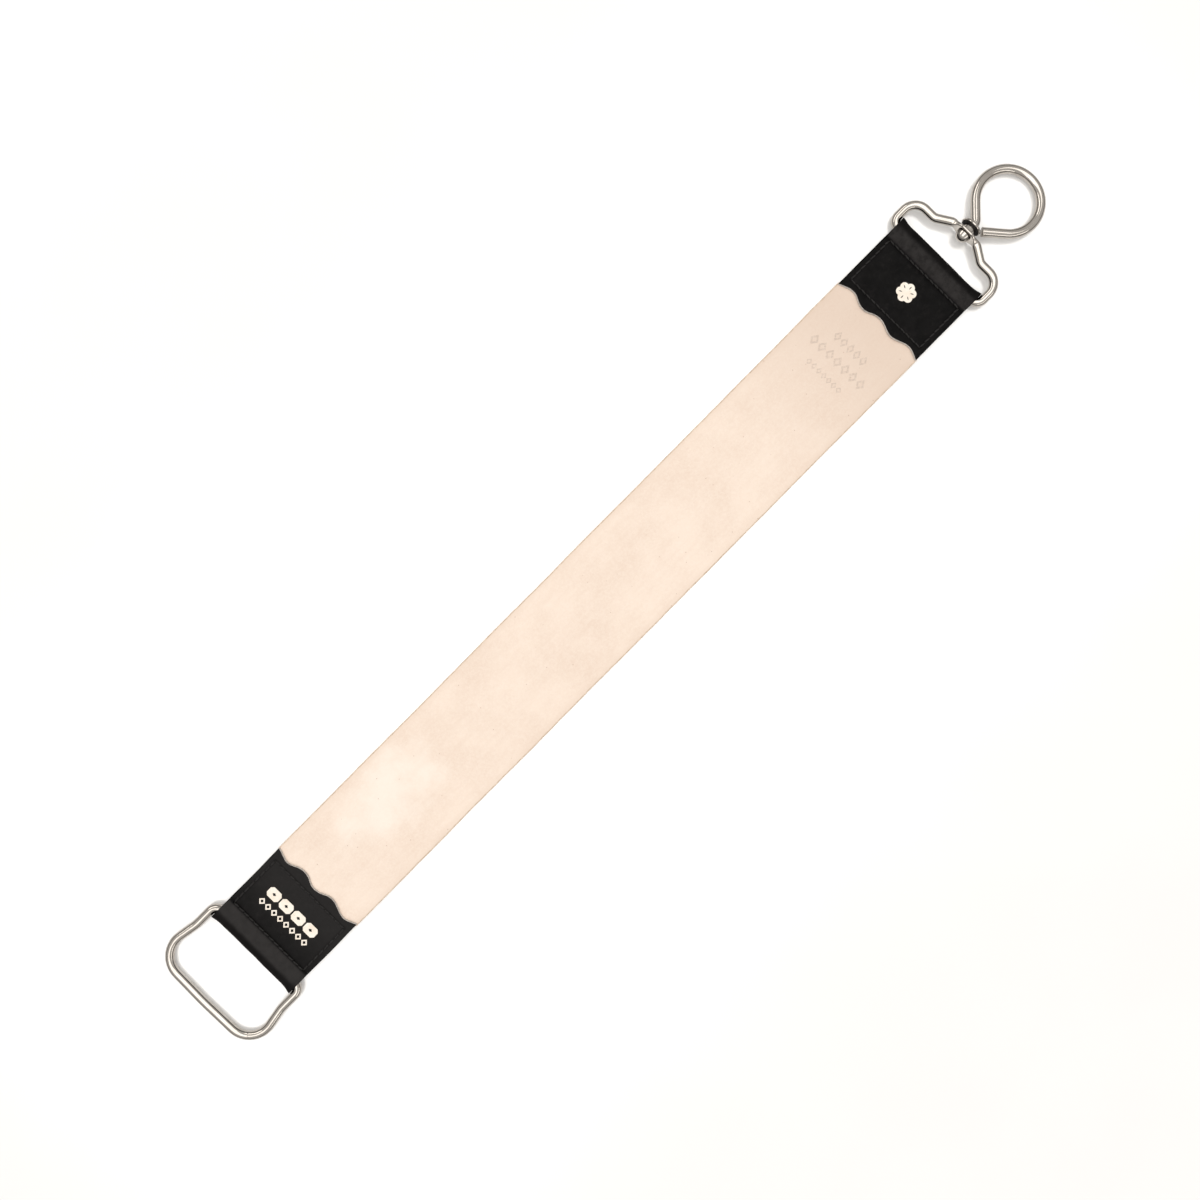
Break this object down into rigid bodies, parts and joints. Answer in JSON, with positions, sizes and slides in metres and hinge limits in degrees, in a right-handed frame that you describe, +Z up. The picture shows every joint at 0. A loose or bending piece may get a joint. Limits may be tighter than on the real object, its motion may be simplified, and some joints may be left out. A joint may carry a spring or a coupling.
{
  "type": "hanging leather strop",
  "caption": "Flat leather strap for honing blades, with a folded leather cap sewn to each end, a bent wire handle at one end and a wire bail with a swivelling ring hook at the other.",
  "frame": {"origin": "bottom centre of the bounding box, on the surface that the strop lies on, in the middle of its width", "axes": "+X along the strop from the handle to the ring hook, +Z up out of the stropping face, +Y across the strap"},
  "size_m": [0.5326, 0.0618, 0.0105],
  "materials": {
    "strap_leather": "smooth undyed cowhide, matt",
    "cap_leather": "fine-grained black leather, satin",
    "thread": "waxed black thread",
    "foil": "cream hot-stamped foil",
    "plated_wire": "polished nickel plating"
  },
  "bodies": {
    "leather": {"strap": "strap_leather", "handle_cap": "cap_leather", "hook_cap": "cap_leather", "handle_cap_stitching": "thread", "hook_cap_stitching": "thread", "handle_cap_foil": "foil", "hook_cap_foil": "foil"},
    "handle": {"handle_loop": "plated_wire"},
    "bail": {"swivel_bail": "plated_wire"},
    "hook": {"swivel_rivet": "plated_wire", "ring_hook": "plated_wire"}
  },
  "joints": [
    {"name": "handle_hinge", "type": "hinge", "parent": "leather", "child": "handle", "pos_m": [-0.22878, 0, 0.0036], "axis": [0, 1, 0], "range_deg": [-160, 160]},
    {"name": "bail_hinge", "type": "hinge", "parent": "leather", "child": "bail", "pos_m": [0.20562, 0, 0.0036], "axis": [0, -1, 0], "range_deg": [-140, 140]},
    {"name": "hook_swivel", "type": "hinge", "parent": "bail", "child": "hook", "pos_m": [0.2243, 0, 0.0058], "axis": [0.9963, 0, -0.0854], "continuous": true}
  ]
}
